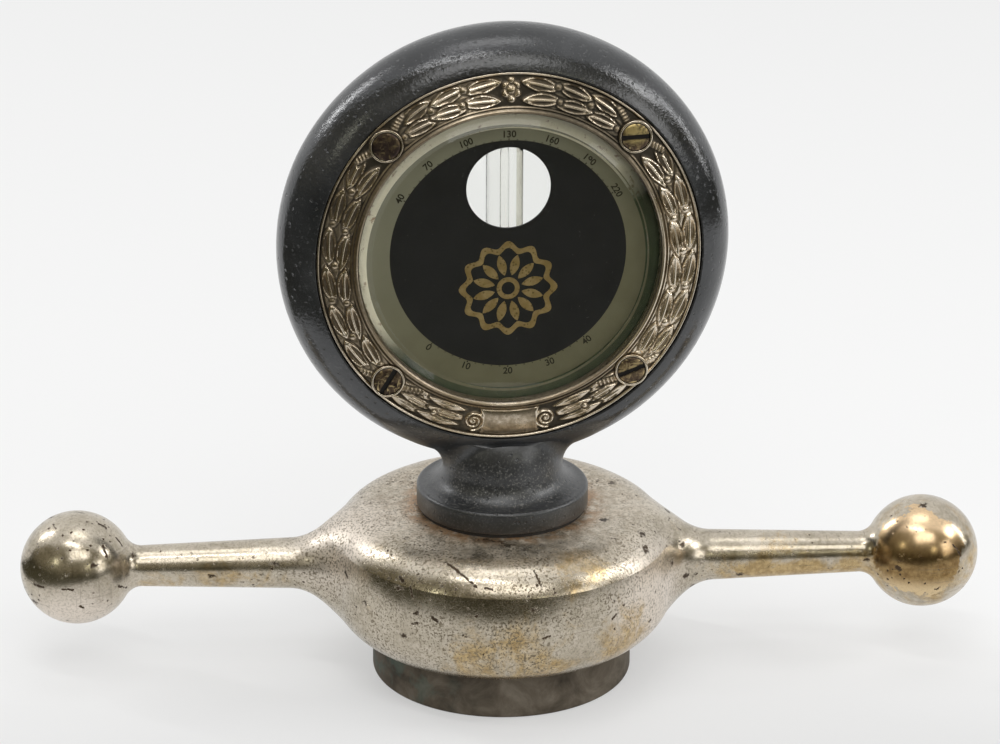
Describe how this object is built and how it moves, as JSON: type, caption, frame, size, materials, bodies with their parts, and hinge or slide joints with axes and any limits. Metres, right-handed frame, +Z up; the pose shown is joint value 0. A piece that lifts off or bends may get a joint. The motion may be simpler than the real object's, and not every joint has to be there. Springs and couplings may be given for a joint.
{
  "type": "radiator cap thermometer",
  "caption": "Two-handled radiator cap carrying a round window-type thermometer with glazed dials, laurel bezels and a rising spirit column.",
  "frame": {"origin": "centre of the threaded collar's underside, where the cap rests", "axes": "+Z up along the cap's and stem's axis, +X along the arms, front dial towards -Y"},
  "size_m": [0.2062, 0.0742, 0.144],
  "materials": {
    "worn_nickel": "worn nickel plate over brass, pitted",
    "dark_brass": "dark oxidised",
    "gasket": "matt",
    "black_casting": "dark semi-gloss cast metal with fine pits",
    "aged_bezel": "aged nickel bronze with dark recesses",
    "screw_brass": "dull brass",
    "clear_glass": "clear, polished",
    "card": "pale card, a little rusty",
    "dial_black": "black print on a plated disc",
    "red_spirit": "red dyed spirit",
    "plain_brass": "machined, dull",
    "cork": "cork packing"
  },
  "bodies": {
    "cap": {"radiator_cap": "worn_nickel", "threaded_collar": "dark_brass", "neck_gasket": "gasket", "foot_gasket": "gasket"},
    "meter": {"meter_housing": "black_casting", "front_bezel": "aged_bezel", "rear_bezel": "aged_bezel", "front_screws": "screw_brass", "rear_screws": "screw_brass", "front_glass": "clear_glass", "rear_glass": "clear_glass", "front_gasket": "card", "rear_gasket": "card", "front_dial": "dial_black", "rear_dial": "dial_black", "thermometer_tube": "clear_glass", "spirit_reservoir": "red_spirit", "stem_tube": "plain_brass", "packing_bush": "cork", "bulb_guard": "plain_brass"},
    "column": {"spirit_column": "red_spirit"},
    "washer": {"stem_washer": "plain_brass"},
    "nut": {"stem_nut": "plain_brass"}
  },
  "joints": [
    {"name": "meter_swivel", "type": "hinge", "parent": "cap", "child": "meter", "pos_m": [0, 0, 0], "axis": [0, 0, 1], "continuous": true},
    {"name": "column_rise", "type": "slide", "parent": "meter", "child": "column", "axis": [0, 0, 1], "range_m": [0, 0.015]},
    {"name": "washer_drop", "type": "slide", "parent": "meter", "child": "washer", "axis": [0, 0, -1], "range_m": [0, 0.0031]},
    {"name": "nut_turn", "type": "hinge", "parent": "washer", "child": "nut", "pos_m": [0, 0, 0], "axis": [0, 0, -1], "range_deg": [0, 720]}
  ],
  "couplings": [
    {"joint": "washer_drop", "follows": "nut_turn", "m_per_rad": 0.00023873}
  ]
}
